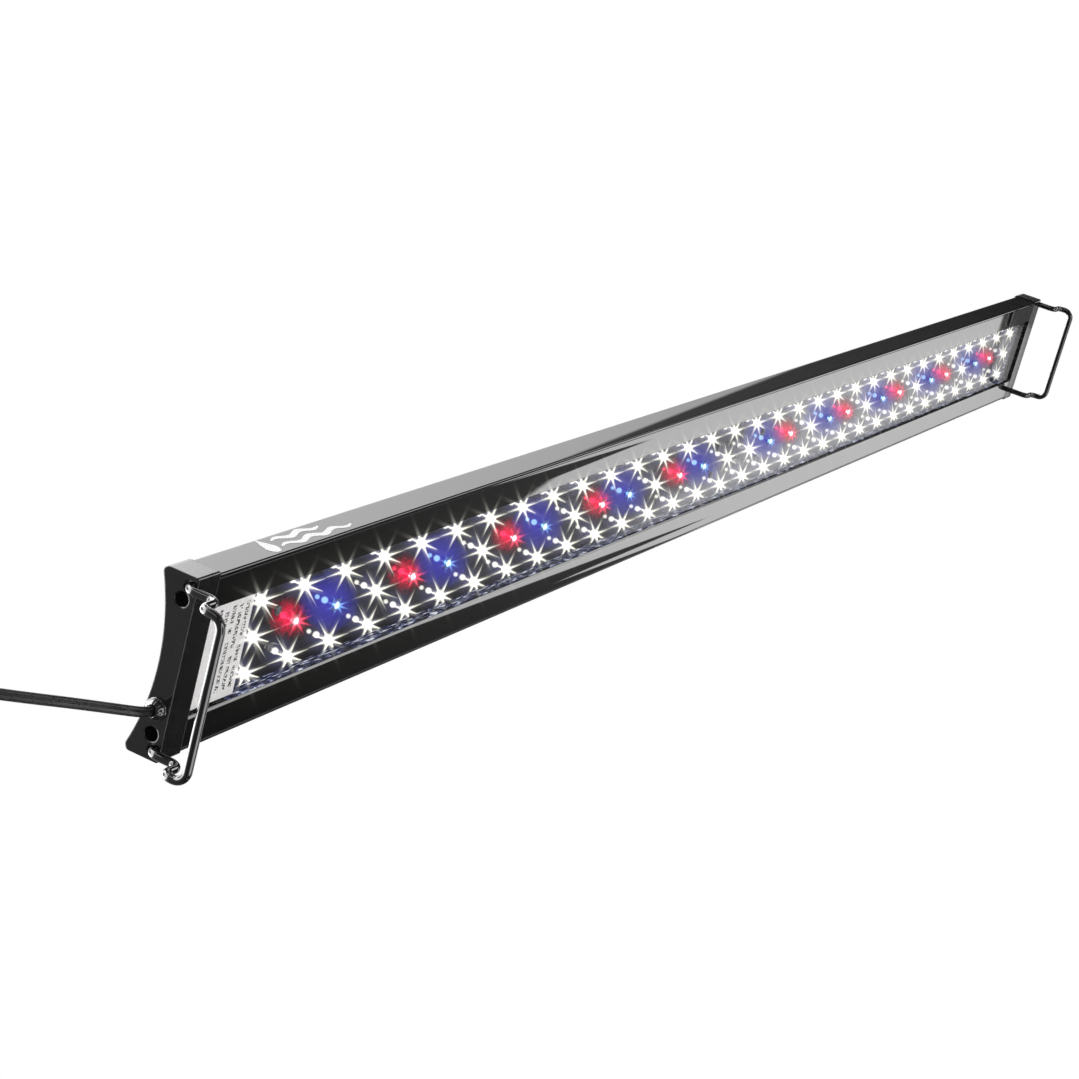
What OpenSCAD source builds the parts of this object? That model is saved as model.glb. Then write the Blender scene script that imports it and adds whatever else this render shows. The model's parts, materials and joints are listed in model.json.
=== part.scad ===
// Slim LED aquarium light: an aluminium extrusion with a concave back, moulded end caps and
// two sliding wire legs that stand it on the rim of a tank.
// X runs along the light, the front faces -Y, and the lamps shine down, towards -Z.
// The origin is at the centre of the flat underside.

/* [Body] */
// Length of the light over its end caps
body_l = 1194; // [1154:20:1234]
// Width of the end caps, front to rear
body_w = 82; // [82:0.5:84]
// Thickness of the light at its front and rear edges, before the corners are rounded
edge_t = 18.2; // [18:0.1:19]
// Thickness of the light along its middle, where the back dips
mid_t = 10.2; // [10.2:0.1:10.4]
// Length of each end cap along the light
cap_l = 16; // [15:0.5:18]
// How far the end caps stand proud of the extrusion
cap_step = 1; // [0.8:0.1:1]

/* [Housing] */
// Thickness of the extrusion's front and rear walls
wall_t = 1.3; // [1.2:0.1:1.3]
// Thickness of the bezel flange beside the window
flange_t = 1.2; // [1:0.1:1.2]
// Height of the flat web that the LED boards are screwed to
web_z = 7.2; // [7.1:0.1:7.2]
// Width of the window between the two bezels
window_w = 48.6; // [46:0.2:50]

/* [Lamps] */
// Columns of lamps on each of the two boards
board_cols = 16; // [12:1:16]
// Distance between columns of lamps
col_pitch = 35; // [30:0.5:35]
// Distance between the three rows of lamps
row_pitch = 17; // [15:0.5:18]
// How far the lamps sit to the right of the middle, to leave room for the driver
lamp_shift = 8; // [6:1:8]
// Side of a square lamp package
lamp_side = 5; // [3.5:0.5:5]

/* [Legs] */
// Diameter of the leg wire
wire_d = 4; // [3.6:0.1:4]
// How far each leg slides out
leg_travel = 76; // [50:1:76]
// Depth of the leg's crossbar below the underside, to its centre
bar_drop = 23; // [22:0.5:30]
// How far the leg steps outward on its way down
leg_step = 12.5; // [11:0.5:16]
// Distance between the centres of a leg's two prongs
prong_gap = 72.6; // [72.4:0.1:72.6]

/* [Power cord] */
// Length of cord from the grommet to its turn
cord_run = 118; // [80:1:200]
// Length of cord from its turn to the plug
cord_tail = 40; // [20:1:100]

/* [Hidden] */
$fn = 64;

sliver = 0.1;                    // how far a cutter runs past the face it opens
slack = 0.05;                    // radial clearance of a sliding or screwed fit

// Ends and outline
end_x = body_l / 2;              // outer face of an end cap
cap_x = end_x - cap_l;           // inner face of an end cap
gasket_t = 0.5;
tube_x = cap_x - gasket_t;       // end of the extrusion
cap_half = body_w / 2;
tube_half = cap_half - cap_step;
dip = edge_t - mid_t;
back_r = (cap_half * cap_half + dip * dip) / (2 * dip);
back_z = mid_t + back_r;         // height of the centre of the concave back
cap_corner_r = 2.5;              // where the concave back meets the front and rear faces
corner_y = cap_half - cap_corner_r;
corner_z = back_z - sqrt(pow(back_r + cap_corner_r, 2) - corner_y * corner_y);

// Inside of the extrusion
skin_t = 1.2;
web_t = 1.2;
edge_r = 1.2;                    // rounding of the lower edges, front and rear
lip_chamfer = 0.8;               // bevel of the bezel's inner edge
groove_w = 0.5;                  // line along the outer edge of each bezel
groove_depth = 0.3;
groove_inset = 1.8;
window_half = window_w / 2;
boss_y = 30;                     // end cap screws and the bosses they run in
boss_z = 6.2;
boss_r = 2.8;
cap_screw_r = 1.45;
cap_screw_head_r = 2.8;
cap_screw_head_t = 2;
cap_screw_l = 18;
cap_screw_cross = [2, 0.8, 3.2]; // cutter of the cross recess: twice its depth, width, span
head_bore_r = 3.2;
head_bore_l = 11;
mouth_bevel = 0.4;               // bevel round the mouth of a screw hole

// Window
seal_t = 0.3;
seal_w = 3;
lens_t = 1.8;
lens_half = 31.5;
lens_z = flange_t + seal_t;
label_t = 0.15;
label_l = 36.5;
label_half = 23.8;

// Lamps and boards
pad_t = 0.3;
board_t = 1.2;
board_half = 23;
lamp_t = 1.5;
emitter_r = 2;
emitter_depth = 0.3;
board_top = web_z - pad_t;
board_z = board_top - board_t;   // lamp side of the boards
board_gap = 2;
board_l = board_cols * col_pitch - board_gap;
board_screw_r = 1.2;
board_screw_head_r = 2.2;
board_screw_head_t = 1.1;
board_screw_end = 8.7;           // height of a board screw's tip
board_screw_cross = [2.6, 0.6, 1];   // cutter of the cross recess: span, width, twice its depth
board_screw_dx = 7 * col_pitch;
board_screw_dy = row_pitch / 2;
lead_r = 0.5;
lead_bend_r = 0.6;
lead_z = board_z - lead_r - 0.3;
lead_out = 1.5;                  // straight stretch of a lead where it leaves its core
lead_inset = 3;                  // from the edge of the driver board to a lead's end

// Driver at the left end
driver_l = 25;
driver_half = 21.5;
driver_x = -cap_x + 14.5;        // middle of the driver board
driver_part_t = 2;
driver_screw_x = driver_x + 9;
driver_screw_y = 16;
chip_size = [6, 5];
coil_side = 8;
coil_place = [-2, -10.5];        // middle of the coil, from the middle of the driver board
coil_well_r = 3;
coil_well_depth = 0.5;
capacitor_size = [3.2, 2.5];
capacitor_places = [[-7, 3], [-7, 8], [6, 4], [6, 8]];
jumper_reach = 4;                // half the length of a bridge between two boards
jumper_y = 4;

// Legs
wire_r = wire_d / 2;
prong_y = prong_gap / 2;
prong_z = 3.6;
leg_x = end_x + wire_r + 1;      // upright part of a leg
elbow_r = 4.5;
knee_z = -12;                    // outward step in the upright part
knee_r = 4.5;
corner_r = 6;                    // corners of the crossbar
mouth_r = 3;                     // open mouth of a prong hole in the cap face
mouth_l = 3;
bush_r = 2.9;
stop_r = 2.3;
stop_l = 8;
stop_gap = 0.2;
stop_x = cap_x - leg_travel - stop_gap;   // outer face of a stop
prong_end_x = stop_x - stop_l - 1;

// Power cord, which leaves the left cap
cord_y = 18.6;
cord_z = 6.1;
core_r = 1.1;                    // each of the two cores
core_dy = 1.2;
cord_web_t = 0.8;                // thickness of the web that joins the cores
cord_kink = 18;                  // how far the cord bends aside as it leaves the grommet
turn_r = 30;
cord_in = 12;                    // length of cord inside the light
cord_out = 7.2;                  // straight stretch through the grommet
knuckle_r = 2.7;                 // moulded knuckle where the cord bends aside
knuckle_h = 2.8;
grommet_hole_r = 4;
grommet_r = 5;
collar_l = 2;                    // length of the collar inside the cap
dome_r = 6.5;                    // radius of the grommet's domed face
dome_h = 4.2;
cap_face_t = 3;                  // thickness of the cap's outer wall
pocket_half = 24;
pocket_z = 2.4;
pocket_top = 8;
plug_r = 5;
plug_l = 26;
plug_neck_r = 3.4;
plug_neck_l = 12;
grip_pitch = 4;                  // grooves round the plug, to grip it by
grip_w = 1.4;
grip_depth = 0.4;
grip_inset = 7;                  // from the neck to the first groove
barrel_r = 2.75;
barrel_wall = 0.45;
barrel_l = 9.5;
tail_r = 2.5;                    // the barrel's tail, inside the moulding
tail_l = 6;
cord_in_plug = 8;                // length of cord inside the moulding
contact_r = 1.05;

function unit(v) = v / norm(v);

// Extrudes a shape drawn in the plane of Y and Z along X, from one place to another.
module along_x(from, to) {
    translate([from, 0, 0]) rotate([90, 0, 90]) linear_extrude(to - from) children();
}

// A rod along X.
module rod_x(from, to, y, z, r) {
    translate([from, y, z]) rotate([0, 90, 0]) cylinder(h = to - from, r = r);
}

// Copies a piece to both sides of the light, front and rear.
module front_and_rear() {
    children();
    mirror([0, 1, 0]) children();
}

module right_side() {
    mirror([1, 0, 0]) children();
}

// The concave back as a circle, grown by some depth.
module back_circle(depth) {
    translate([0, back_z]) circle(r = back_r + depth, $fn = 128);
}

// ---------- Housing ----------

// A block as wide as twice half and as tall as top, with rounded lower edges.
module round_bottomed(half, top) {
    translate([-half, edge_r]) square([2 * half, top - edge_r]);
    translate([-half + edge_r, 0]) square([2 * (half - edge_r), 2 * edge_r]);
    for (side = [-1, 1])
        translate([side * (half - edge_r), edge_r]) circle(r = edge_r);
}

// Outline of the light, drawn in by a step: flat below, concave above, with round corners.
module body_outline(step) {
    half = cap_half - step;
    to_back = unit([-corner_y, back_z - corner_z]);
    tip = [corner_y, corner_z] + 2 * cap_corner_r * to_back;
    difference() {
        round_bottomed(half, edge_t);
        back_circle(step);
        for (side = [-1, 1])
            polygon([
                [side * corner_y, corner_z], [side * (half + 1), corner_z],
                [side * (half + 1), edge_t + 1], [side * tip[0], tip[1]]
            ]);
    }
    for (side = [-1, 1])
        translate([side * corner_y, corner_z]) circle(r = cap_corner_r - step);
}

// Outline of the extrusion, with a fine line along the outer edge of each bezel.
module tube_outline() {
    difference() {
        body_outline(cap_step);
        for (side = [-1, 1])
            translate([side * (tube_half - groove_inset), 0])
                square([groove_w, 2 * groove_depth], center = true);
    }
}

// Room below the web, and the two chambers between the web and the back.
module tube_hollow() {
    inner_half = tube_half - wall_t;
    difference() {
        translate([-inner_half, flange_t]) square([2 * inner_half, edge_t]);
        back_circle(cap_step + skin_t);
        translate([-inner_half, web_z]) square([2 * inner_half, web_t]);
        for (side = [-1, 1])
            translate([side * boss_y, boss_z]) circle(r = boss_r);
    }
}

// Opening for the window, wider at the face where its edges are bevelled.
module window_cut() {
    polygon([
        [-window_half - lip_chamfer, -sliver], [window_half + lip_chamfer, -sliver],
        [window_half + lip_chamfer, 0], [window_half, lip_chamfer],
        [window_half, flange_t + sliver], [-window_half, flange_t + sliver],
        [-window_half, lip_chamfer], [-window_half - lip_chamfer, 0]
    ]);
}

module screw_places() {
    for (board = [-1, 1], dx = [-1, 1], dy = [-1, 1])
        translate([
            lamp_shift + board * board_cols * col_pitch / 2 + dx * board_screw_dx,
            dy * board_screw_dy,
            0
        ])
            children();
    for (dy = [-1, 1])
        translate([driver_screw_x, dy * driver_screw_y, 0]) children();
}

module housing_extrusion() {
    color("dimgray")
        difference() {
            along_x(-tube_x, tube_x)
                difference() {
                    tube_outline();
                    tube_hollow();
                    window_cut();
                    for (side = [-1, 1])
                        translate([side * boss_y, boss_z]) circle(r = cap_screw_r + slack);
                }
            screw_places()
                translate([0, 0, web_z - sliver])
                    cylinder(h = board_screw_end - web_z + 2 * sliver, r = board_screw_r + slack);
        }
}

// ---------- End caps ----------

module cap_block() {
    difference() {
        along_x(-end_x, -cap_x) body_outline(0);
        front_and_rear() {
            // prong hole: an open mouth, then the seat of the guide bush
            rod_x(-end_x - sliver, -end_x + mouth_l + sliver, prong_y, prong_z, mouth_r);
            rod_x(-end_x + mouth_l, -cap_x + sliver, prong_y, prong_z, bush_r);
            // deep hole for the cap screw
            rod_x(-end_x - sliver, -end_x + head_bore_l, boss_y, boss_z, head_bore_r);
            translate([-end_x - sliver, boss_y, boss_z])
                rotate([0, 90, 0])
                    cylinder(h = mouth_bevel + sliver, r1 = head_bore_r + mouth_bevel + sliver,
                             r2 = head_bore_r);
            rod_x(-end_x, -cap_x + sliver, boss_y, boss_z, cap_screw_r + slack);
        }
    }
}

// Hollow behind the cap's outer wall.
module cap_pocket() {
    along_x(-end_x + cap_face_t, -cap_x + sliver)
        translate([-pocket_half, pocket_z]) square([2 * pocket_half, pocket_top - pocket_z]);
}

module left_end_cap() {
    color("black")
        difference() {
            cap_block();
            cap_pocket();
            rod_x(-end_x - sliver, -end_x + cap_face_t + sliver, cord_y, cord_z, grommet_hole_r);
        }
}

module right_end_cap() {
    color("black")
        right_side()
            difference() {
                cap_block();
                cap_pocket();
            }
}

// Foam gasket between a cap and the extrusion.
module cap_gasket() {
    inset = 0.8;
    color("darkslategray")
        along_x(-cap_x, -tube_x)
            difference() {
                translate([-tube_half + inset, inset]) square([2 * (tube_half - inset), edge_t]);
                back_circle(cap_step + inset);
                translate([-pocket_half, -sliver]) square([2 * pocket_half, pocket_top + sliver]);
                for (side = [-1, 1]) {
                    translate([side * prong_y, prong_z]) circle(r = stop_r + slack);
                    translate([side * boss_y, boss_z]) circle(r = cap_screw_r + slack);
                }
            }
}

// A pan head screw that points inward, with a cross recess.
module cap_screw() {
    head_x = -end_x + head_bore_l;
    difference() {
        union() {
            rod_x(head_x - cap_screw_head_t, head_x, boss_y, boss_z, cap_screw_head_r);
            rod_x(head_x - sliver, head_x + cap_screw_l, boss_y, boss_z, cap_screw_r);
        }
        for (turn = [0, 90])
            translate([head_x - cap_screw_head_t, boss_y, boss_z])
                rotate([turn, 0, 0])
                    cube(cap_screw_cross, center = true);
    }
}

module cap_screws() {
    color("silver") front_and_rear() cap_screw();
}

// ---------- Window ----------

module lens_window() {
    color("white", 0.3)
        translate([-tube_x, -lens_half, lens_z]) cube([2 * tube_x, 2 * lens_half, lens_t]);
}

module lens_seals() {
    color("gray")
        front_and_rear()
            translate([-tube_x, window_half + 0.5, flange_t]) cube([2 * tube_x, seal_w, seal_t]);
}

module rating_label() {
    color("gainsboro")
        translate([-tube_x + 1, -label_half, lens_z + lens_t])
            cube([label_l, 2 * label_half, label_t]);
}

// ---------- Lamps ----------

function column_x(col) = lamp_shift + (col - board_cols + 0.5) * col_pitch;

// The outer rows are all white. The middle row repeats white, red, blue from each outer end.
function middle_colour(col) =
    let (from_end = col < board_cols ? col : 2 * board_cols - 1 - col)
    ["white", "red", "blue"][from_end % 3];

// A square lamp package with a round well in its lower face.
module lamp(x, y) {
    translate([x, y, board_z - lamp_t])
        difference() {
            translate([-lamp_side / 2, -lamp_side / 2, 0]) cube([lamp_side, lamp_side, lamp_t]);
            translate([0, 0, -sliver]) cylinder(h = emitter_depth + sliver, r = emitter_r);
        }
}

module middle_lamps(colour) {
    for (col = [0 : 2 * board_cols - 1])
        if (middle_colour(col) == colour) lamp(column_x(col), 0);
}

module white_lamps() {
    color("ivory") {
        for (col = [0 : 2 * board_cols - 1], row = [-1, 1])
            lamp(column_x(col), row * row_pitch);
        middle_lamps("white");
    }
}

module red_lamps() {
    color("red") middle_lamps("red");
}

module blue_lamps() {
    color("blue") middle_lamps("blue");
}

function board_x(side) = lamp_shift + side * board_cols * col_pitch / 2;

module board_slab(side, z, t) {
    translate([board_x(side) - board_l / 2, -board_half, z]) cube([board_l, 2 * board_half, t]);
}

module led_board(side) {
    color("midnightblue")
        difference() {
            board_slab(side, board_z, board_t);
            screw_places()
                translate([0, 0, board_z - sliver])
                    cylinder(h = board_t + 2 * sliver, r = board_screw_r + slack);
        }
}

module thermal_pads() {
    color("lightgray")
        difference() {
            union() {
                board_slab(-1, board_top, pad_t);
                board_slab(1, board_top, pad_t);
                driver_slab(board_top, pad_t);
            }
            screw_places()
                translate([0, 0, board_top - sliver])
                    cylinder(h = pad_t + 2 * sliver, r = board_screw_r + slack);
        }
}

// A small pan head screw that points up, with a cross recess in its head.
module board_screw() {
    difference() {
        union() {
            translate([0, 0, board_z - board_screw_head_t])
                cylinder(h = board_screw_head_t, r = board_screw_head_r);
            translate([0, 0, board_z - sliver])
                cylinder(h = board_screw_end - board_z + sliver, r = board_screw_r);
        }
        for (turn = [0, 90])
            translate([0, 0, board_z - board_screw_head_t])
                rotate([0, 0, turn])
                    cube(board_screw_cross, center = true);
    }
}

module board_screws() {
    color("silver")
        intersection() {
            screw_places() board_screw();
            translate([lamp_shift - board_cols * col_pitch, -board_half, 0])
                cube([2 * board_cols * col_pitch, 2 * board_half, edge_t]);
        }
}

// ---------- Driver ----------

module driver_slab(z, t) {
    translate([driver_x - driver_l / 2, -driver_half, z]) cube([driver_l, 2 * driver_half, t]);
}

module driver_board() {
    color("darkgreen")
        difference() {
            driver_slab(board_z, board_t);
            screw_places()
                translate([0, 0, board_z - sliver])
                    cylinder(h = board_t + 2 * sliver, r = board_screw_r + slack);
        }
}

// A surface-mount part on the driver board, given by its middle and its length and width.
module driver_part(place, size) {
    translate([
        driver_x + place[0] - size[0] / 2,
        place[1] - size[1] / 2,
        board_z - driver_part_t
    ])
        cube([size[0], size[1], driver_part_t]);
}

module driver_chip() {
    color("black") driver_part([0, 0], chip_size);
}

// A shielded coil: a square core with a round well in its lower face.
module driver_inductor() {
    color("dimgray")
        difference() {
            driver_part(coil_place, [coil_side, coil_side]);
            translate([driver_x + coil_place[0], coil_place[1], board_z - driver_part_t - sliver])
                cylinder(h = coil_well_depth + sliver, r = coil_well_r);
        }
}

module driver_capacitors() {
    color("tan")
        for (place = capacitor_places)
            driver_part(place, capacitor_size);
}

module driver_screws() {
    color("silver")
        for (dy = [-1, 1])
            translate([driver_screw_x, dy * driver_screw_y, 0]) board_screw();
}

// ---------- Bent wires ----------

// Where two straight runs meet: the arc's turn, the length it takes off each run, its centre
// and the direction from there to its start.
function turn_angle(a, b, c) = acos(unit(b - a) * unit(c - b));
function trim(a, b, c, r) = r * tan(turn_angle(a, b, c) / 2);
function inward(a, b, c) =
    let (d = unit(b - a), e = unit(c - b))
    unit(e - (e * d) * d);

// The arc of a round wire of radius wire_radius that rounds the corner a, b, c.
module wire_arc(a, b, c, r, wire_radius) {
    d = unit(b - a);
    n = inward(a, b, c);
    centre = b - trim(a, b, c, r) * d + r * n;
    k = cross(-n, d);
    multmatrix([
        [-n[0], d[0], k[0], centre[0]],
        [-n[1], d[1], k[1], centre[1]],
        [-n[2], d[2], k[2], centre[2]],
        [0, 0, 0, 1]
    ])
        rotate_extrude(angle = turn_angle(a, b, c)) translate([r, 0]) circle(r = wire_radius);
}

// A straight run between two points.
module wire_run(a, b, wire_radius) {
    v = b - a;
    translate(a)
        rotate([0, acos(v[2] / norm(v)), atan2(v[1], v[0])])
            cylinder(h = norm(v), r = wire_radius);
}

// A wire through a list of points, with a bend radius for each inner point.
module bent_wire(points, radii, wire_radius) {
    last = len(points) - 1;
    cuts = [
        for (i = [0 : last])
            i == 0 || i == last ? 0 : trim(points[i - 1], points[i], points[i + 1], radii[i - 1])
    ];
    for (i = [0 : last - 1]) {
        d = unit(points[i + 1] - points[i]);
        if (norm(points[i + 1] - points[i]) - cuts[i] - cuts[i + 1] > 0.001)
            wire_run(points[i] + cuts[i] * d, points[i + 1] - cuts[i + 1] * d, wire_radius);
    }
    for (i = [1 : last - 1])
        wire_arc(points[i - 1], points[i], points[i + 1], radii[i - 1], wire_radius);
}

// ---------- Wiring ----------

// A lead from a core of the cord to the driver board, where its end turns up to be soldered.
module supply_lead(side) {
    start_x = -end_x + cord_in;
    end_lead_x = driver_x - driver_l / 2 + lead_inset;
    y = cord_y + side * core_dy;
    bent_wire(
        [
            [start_x, y, cord_z], [start_x + lead_out, y, cord_z], [start_x + lead_out, y, lead_z],
            [end_lead_x, y, lead_z], [end_lead_x, y, board_z]
        ],
        [lead_bend_r, lead_bend_r, lead_bend_r],
        lead_r
    );
}

module positive_lead() {
    color("red") supply_lead(-1);
}

module negative_lead() {
    color("black") supply_lead(1);
}

// Short bridges that join the driver to the left board, and the left board to the right board.
module board_jumpers() {
    driver_gap_x = (driver_x + driver_l / 2 + board_x(-1) - board_l / 2) / 2;
    color("white")
        for (x = [driver_gap_x, lamp_shift], y = [-jumper_y, jumper_y])
            bent_wire(
                [
                    [x - jumper_reach, y, board_z], [x - jumper_reach, y, lead_z],
                    [x + jumper_reach, y, lead_z], [x + jumper_reach, y, board_z]
                ],
                [lead_bend_r, lead_bend_r],
                lead_r
            );
}

// ---------- Power cord ----------

// Twin flex in cross-section.
module cord_section(grow) {
    for (side = [-1, 1])
        translate([side * core_dy, 0]) circle(r = core_r + grow);
    square([2 * core_dy, cord_web_t + 2 * grow], center = true);
}

// The thin web between the cores, along a straight stretch.
module cord_web(from, to) {
    translate([from, -core_dy, -cord_web_t / 2]) cube([to - from, 2 * core_dy, cord_web_t]);
}

// One core of the twin flex: out through the grommet, aside and round the turn.
module cord_core(side) {
    y = side * core_dy;
    mitre = y * tan(cord_kink / 2);
    kink_x = -end_x - cord_out - mitre;
    run = cord_run + mitre;
    r = turn_r - y;
    rod_x(kink_x, -end_x + cord_in, cord_y + y, cord_z, core_r);
    translate([kink_x, cord_y + y, cord_z]) {
        rotate([0, 0, cord_kink]) {
            rod_x(-run, 0, 0, 0, core_r);
            translate([-run, r, 0]) {
                rotate([0, 0, 180]) rotate_extrude(angle = 90) translate([r, 0]) circle(r = core_r);
                translate([-r, 0, 0]) rotate([-90, 0, 0]) cylinder(h = cord_tail, r = core_r);
            }
        }
    }
}

// Places its children at the end of the cord, with +X pointing on along it.
module at_cord_end() {
    translate([-end_x - cord_out, cord_y, cord_z])
        rotate([0, 0, cord_kink])
            translate([-cord_run - turn_r, turn_r + cord_tail, 0])
                rotate([0, 0, 90])
                    children();
}

module power_cord() {
    color("black") {
        cord_core(-1);
        cord_core(1);
        translate([-end_x, cord_y, cord_z]) cord_web(-cord_out + 1, cord_in);
        translate([-end_x - cord_out, cord_y, cord_z]) {
            cylinder(h = knuckle_h, r = knuckle_r, center = true);
            rotate([0, 0, cord_kink]) cord_web(-cord_run, -1);
        }
    }
}

// Grommet with a domed face outside, a waist in the cap's wall and a collar inside.
module cord_grommet() {
    color("black")
        difference() {
            union() {
                intersection() {
                    translate([-end_x - dome_h + dome_r, cord_y, cord_z]) sphere(r = dome_r);
                    rod_x(-end_x - dome_h - 1, -end_x, cord_y, cord_z, grommet_r);
                }
                rod_x(-end_x - sliver, -end_x + cap_face_t + sliver, cord_y, cord_z,
                      grommet_hole_r - slack);
                intersection() {
                    rod_x(-end_x + cap_face_t, -end_x + cap_face_t + collar_l, cord_y, cord_z,
                          grommet_r);
                    translate([-end_x, cord_y - grommet_r, pocket_z + slack])
                        cube([cap_l, 2 * grommet_r, pocket_top - pocket_z - 2 * slack]);
                }
            }
            along_x(-end_x - dome_h - 1, -end_x + cap_l)
                translate([cord_y, cord_z]) cord_section(slack);
        }
}

// Moulded body of the plug with a stepped neck and grip grooves, bored for cord and barrel.
module plug_moulding() {
    body_to = plug_neck_l + plug_l;
    color("black")
        at_cord_end()
            difference() {
                union() {
                    rod_x(-cord_in_plug, plug_neck_l + sliver, 0, 0, plug_neck_r);
                    rod_x(plug_neck_l, body_to, 0, 0, plug_r);
                }
                along_x(-cord_in_plug - sliver, 0) cord_section(slack);
                rod_x(body_to - tail_l, body_to + sliver, 0, 0, tail_r + slack);
                for (i = [0 : 3])
                    translate([plug_neck_l + grip_inset + i * grip_pitch, 0, 0])
                        rotate([0, 90, 0])
                            difference() {
                                cylinder(h = grip_w, r = plug_r + 1);
                                translate([0, 0, -sliver])
                                    cylinder(h = grip_w + 2 * sliver, r = plug_r - grip_depth);
                            }
            }
}

// Hollow metal barrel that stands out of the plug, with a thinner tail inside the moulding.
module plug_barrel() {
    body_to = plug_neck_l + plug_l;
    color("silver")
        at_cord_end()
            difference() {
                union() {
                    rod_x(body_to, body_to + barrel_l, 0, 0, barrel_r);
                    rod_x(body_to - tail_l, body_to + sliver, 0, 0, tail_r);
                }
                rod_x(body_to - tail_l - sliver, body_to + barrel_l + sliver, 0, 0,
                      tail_r - barrel_wall);
            }
}

// Sleeve inside the barrel that the socket's centre pin slides into.
module plug_contact() {
    body_to = plug_neck_l + plug_l;
    color("goldenrod")
        at_cord_end()
            difference() {
                rod_x(body_to - tail_l, body_to + barrel_l - 1, 0, 0, tail_r - barrel_wall);
                rod_x(body_to, body_to + barrel_l, 0, 0, contact_r);
            }
}

// ---------- Legs ----------

// One continuous wire: prong, elbow, outward step, crossbar, and the same back again.
module leg() {
    out_x = leg_x + leg_step;
    half = [
        [-prong_end_x, -prong_y, prong_z],
        [-leg_x, -prong_y, prong_z],
        [-leg_x, -prong_y, knee_z],
        [-out_x, -prong_y, knee_z],
        [-out_x, -prong_y, -bar_drop]
    ];
    rear = [for (i = [len(half) - 1 : -1 : 0]) [half[i][0], -half[i][1], half[i][2]]];
    color("dimgray")
        bent_wire(
            concat(half, rear),
            [elbow_r, knee_r, knee_r, corner_r, corner_r, knee_r, knee_r, elbow_r],
            wire_r
        );
}

// Nylon bush that guides a prong in the cap.
module leg_bushes() {
    color("white")
        front_and_rear()
            difference() {
                rod_x(-end_x + mouth_l, -cap_x, prong_y, prong_z, bush_r);
                rod_x(-end_x, -cap_x + sliver, prong_y, prong_z, wire_r + slack);
            }
}

// Collar crimped near the end of a prong, so that the leg can't be pulled right out.
module leg_stops() {
    color("silver")
        front_and_rear()
            difference() {
                rod_x(-stop_x, -stop_x + stop_l, prong_y, prong_z, stop_r);
                rod_x(-stop_x - sliver, -stop_x + stop_l + sliver, prong_y, prong_z, wire_r);
            }
}

housing_extrusion();
left_end_cap();
right_end_cap();
cap_gasket();  // left_cap_gasket
right_side() cap_gasket();  // right_cap_gasket
cap_screws();  // left_cap_screws
right_side() cap_screws();  // right_cap_screws
lens_window();
lens_seals();
led_board(-1);  // left_led_board
led_board(1);  // right_led_board
thermal_pads();
board_screws();
white_lamps();
red_lamps();
blue_lamps();
driver_board();
driver_chip();
driver_inductor();
driver_capacitors();
driver_screws();
positive_lead();
negative_lead();
board_jumpers();
rating_label();
cord_grommet();
power_cord();
plug_moulding();
plug_barrel();
plug_contact();
leg();  // left_leg
right_side() leg();  // right_leg
leg_bushes();  // left_leg_bushes
right_side() leg_bushes();  // right_leg_bushes
leg_stops();  // left_leg_stops
right_side() leg_stops();  // right_leg_stops
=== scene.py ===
import json
import math

import bmesh
import bpy
from mathutils import Matrix, Vector


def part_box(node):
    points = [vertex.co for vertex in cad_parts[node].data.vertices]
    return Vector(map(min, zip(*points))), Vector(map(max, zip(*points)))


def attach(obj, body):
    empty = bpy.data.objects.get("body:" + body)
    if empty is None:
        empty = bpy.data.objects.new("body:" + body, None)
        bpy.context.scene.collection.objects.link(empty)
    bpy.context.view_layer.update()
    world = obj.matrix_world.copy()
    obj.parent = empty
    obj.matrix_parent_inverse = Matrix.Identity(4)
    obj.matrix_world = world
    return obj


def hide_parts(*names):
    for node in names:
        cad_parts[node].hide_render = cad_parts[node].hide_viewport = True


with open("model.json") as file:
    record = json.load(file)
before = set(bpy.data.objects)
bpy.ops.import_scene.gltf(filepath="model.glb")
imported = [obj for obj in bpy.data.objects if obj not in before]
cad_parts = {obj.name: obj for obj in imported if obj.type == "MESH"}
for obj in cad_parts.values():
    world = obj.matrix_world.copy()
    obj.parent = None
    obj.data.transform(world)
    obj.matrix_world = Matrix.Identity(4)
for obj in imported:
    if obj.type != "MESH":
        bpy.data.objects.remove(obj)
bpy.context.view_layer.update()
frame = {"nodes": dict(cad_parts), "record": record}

SCENE = bpy.context.scene
NODES = frame["nodes"]
MM = 0.001

# ---------------------------------------------------------------- sizes read from the frame
CAP_LOW, CAP_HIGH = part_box("left_end_cap")
FRONT_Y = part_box("housing_extrusion")[0].y
BOARD_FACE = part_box("left_led_board")[0].z
WHITE_LOW, WHITE_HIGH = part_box("white_lamps")
LABEL_LOW, LABEL_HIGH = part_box("rating_label")
PLUG_LOW, PLUG_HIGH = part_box("plug_moulding")
GROMMET_LOW, GROMMET_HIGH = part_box("cord_grommet")
CORD_INNER_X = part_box("power_cord")[1].x
CORD_Z = (PLUG_LOW.z + PLUG_HIGH.z) / 2
GROMMET_Y = (GROMMET_LOW.y + GROMMET_HIGH.y) / 2
FLOOR_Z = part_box("left_leg")[0].z

# The lamps stand in a grid that is mirrored about its own middle.
COL_PITCH = 35 * MM
GRID_MID = (WHITE_LOW.x + WHITE_HIGH.x) / 2
LAMP_SIDE = 5 * MM
GRID_HALF = WHITE_HIGH.x - GRID_MID - LAMP_SIDE / 2 + COL_PITCH / 2
ROW_PITCH = (WHITE_HIGH.y - WHITE_LOW.y - LAMP_SIDE) / 2

# ---------------------------------------------------------------- node material helpers


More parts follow.
